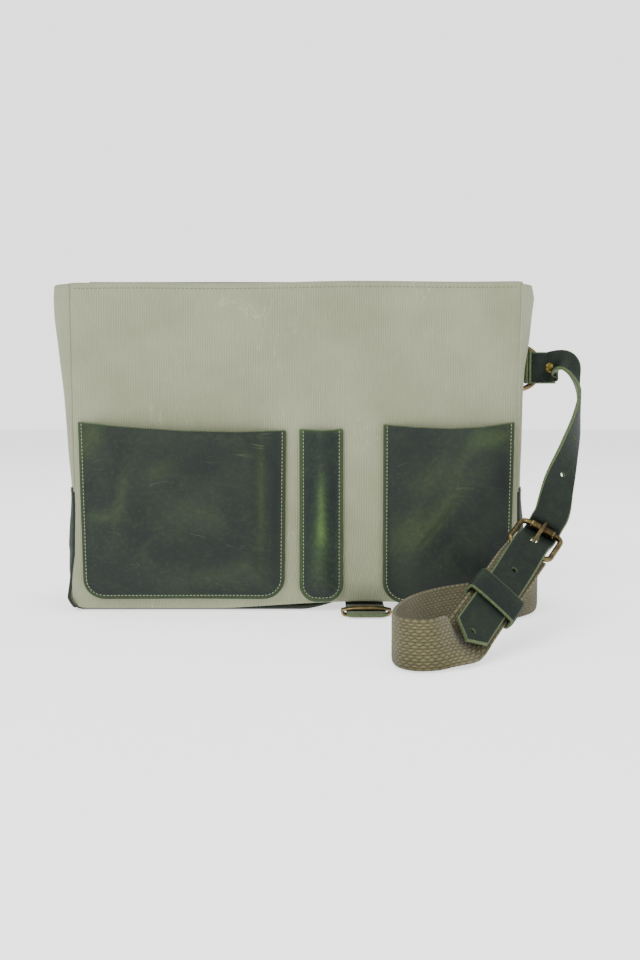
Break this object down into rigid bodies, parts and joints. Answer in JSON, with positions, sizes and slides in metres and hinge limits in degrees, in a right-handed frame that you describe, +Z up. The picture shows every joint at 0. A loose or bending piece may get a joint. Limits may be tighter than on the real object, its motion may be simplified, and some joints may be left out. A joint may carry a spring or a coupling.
{
  "type": "messenger bag",
  "caption": "Canvas messenger bag with leather patch pockets, an open leather flap with closure strap, and a buckled leather and webbing shoulder strap.",
  "frame": {"origin": "middle of the base, on the plane the bag stands on", "axes": "+X along the width towards the buckled strap, +Y to the back, +Z up"},
  "size_m": [0.3285, 0.2257, 0.2021],
  "materials": {
    "canvas": "waxed canvas, fine vertical rib",
    "pull_up_leather": "oiled, mottled, lighter where creased",
    "cotton_webbing": "coarse weave",
    "antique_brass": "dark antique finish",
    "lining_cloth": "plain weave",
    "stiffener": "matt"
  },
  "bodies": {
    "bag": {"front_panel": "canvas", "back_panel": "canvas", "base_strip": "pull_up_leather", "side_gusset_right": "canvas", "side_gusset_left": "canvas", "side_boot_right": "pull_up_leather", "side_boot_left": "pull_up_leather", "lining": "lining_cloth", "hem_facing": "canvas", "base_board": "stiffener", "phone_pocket": "pull_up_leather", "pen_pocket": "pull_up_leather", "card_pocket": "pull_up_leather", "flap_anchor": "pull_up_leather", "ring_tab_right": "pull_up_leather", "ring_tab_left": "pull_up_leather"},
    "flap_spine": {"flap_spine": "pull_up_leather"},
    "flap_front": {"flap_front": "pull_up_leather"},
    "closure_strap": {"closure_strap": "pull_up_leather"},
    "closure_tip": {"closure_tip": "pull_up_leather", "closure_loop": "antique_brass"},
    "strap_front": {"ring_right": "antique_brass", "strap_leather": "pull_up_leather", "strap_rivet": "antique_brass", "buckle_frame": "antique_brass", "webbing_chape": "pull_up_leather", "webbing_front": "cotton_webbing"},
    "strap_rear": {"webbing_back": "cotton_webbing", "strap_end_left": "pull_up_leather", "strap_rivet_left": "antique_brass", "ring_left": "antique_brass"},
    "prong": {"buckle_prong": "antique_brass"},
    "roller": {"buckle_roller": "antique_brass"},
    "keeper": {"keeper": "pull_up_leather"}
  },
  "joints": [
    {"name": "flap_hinge", "type": "hinge", "parent": "bag", "child": "flap_spine", "pos_m": [0, 0.024, 0.202], "axis": [1, 0, 0], "range_deg": [0, 266.4]},
    {"name": "flap_crease", "type": "hinge", "parent": "flap_spine", "child": "flap_front", "pos_m": [0, 0.02764, 0.14411], "axis": [1, 0, 0], "range_deg": [0, 88.8]},
    {"name": "closure_fold", "type": "hinge", "parent": "flap_front", "child": "closure_strap", "pos_m": [0.0435, 0.03653, 0.0016], "axis": [1, 0, 0], "range_deg": [0, 93.6]},
    {"name": "closure_tip_bend", "type": "hinge", "parent": "closure_strap", "child": "closure_tip", "pos_m": [0.0435, -0.02797, 0.0016], "axis": [1, 0, 0], "range_deg": [0, 40]},
    {"name": "strap_swing", "type": "hinge", "parent": "bag", "child": "strap_front", "pos_m": [0.1429, 0.014, 0.15], "axis": [0, 0, 1], "range_deg": [0, 40]},
    {"name": "webbing_bend", "type": "hinge", "parent": "strap_front", "child": "strap_rear", "pos_m": [0.1429, 0.014, 0.15], "axis": [0, 0, 1], "range_deg": [-40, 0]},
    {"name": "prong_hinge", "type": "hinge", "parent": "strap_front", "child": "prong", "pos_m": [0.1317, -0.07991, 0.04575], "axis": [0.832, -0.3067, -0.4622], "range_deg": [0, 25]},
    {"name": "roller_spin", "type": "hinge", "parent": "strap_front", "child": "roller", "pos_m": [0.14377, -0.06144, 0.0552], "axis": [0.832, -0.3067, -0.4622], "continuous": true},
    {"name": "keeper_slide", "type": "slide", "parent": "strap_front", "child": "keeper", "axis": [-0.5025, -0.7697, -0.3938], "range_m": [-0.004, 0.004]}
  ],
  "couplings": [
    {"joint": "flap_crease", "follows": "flap_hinge", "ratio": 0.33333},
    {"joint": "webbing_bend", "follows": "strap_swing", "ratio": -1}
  ]
}
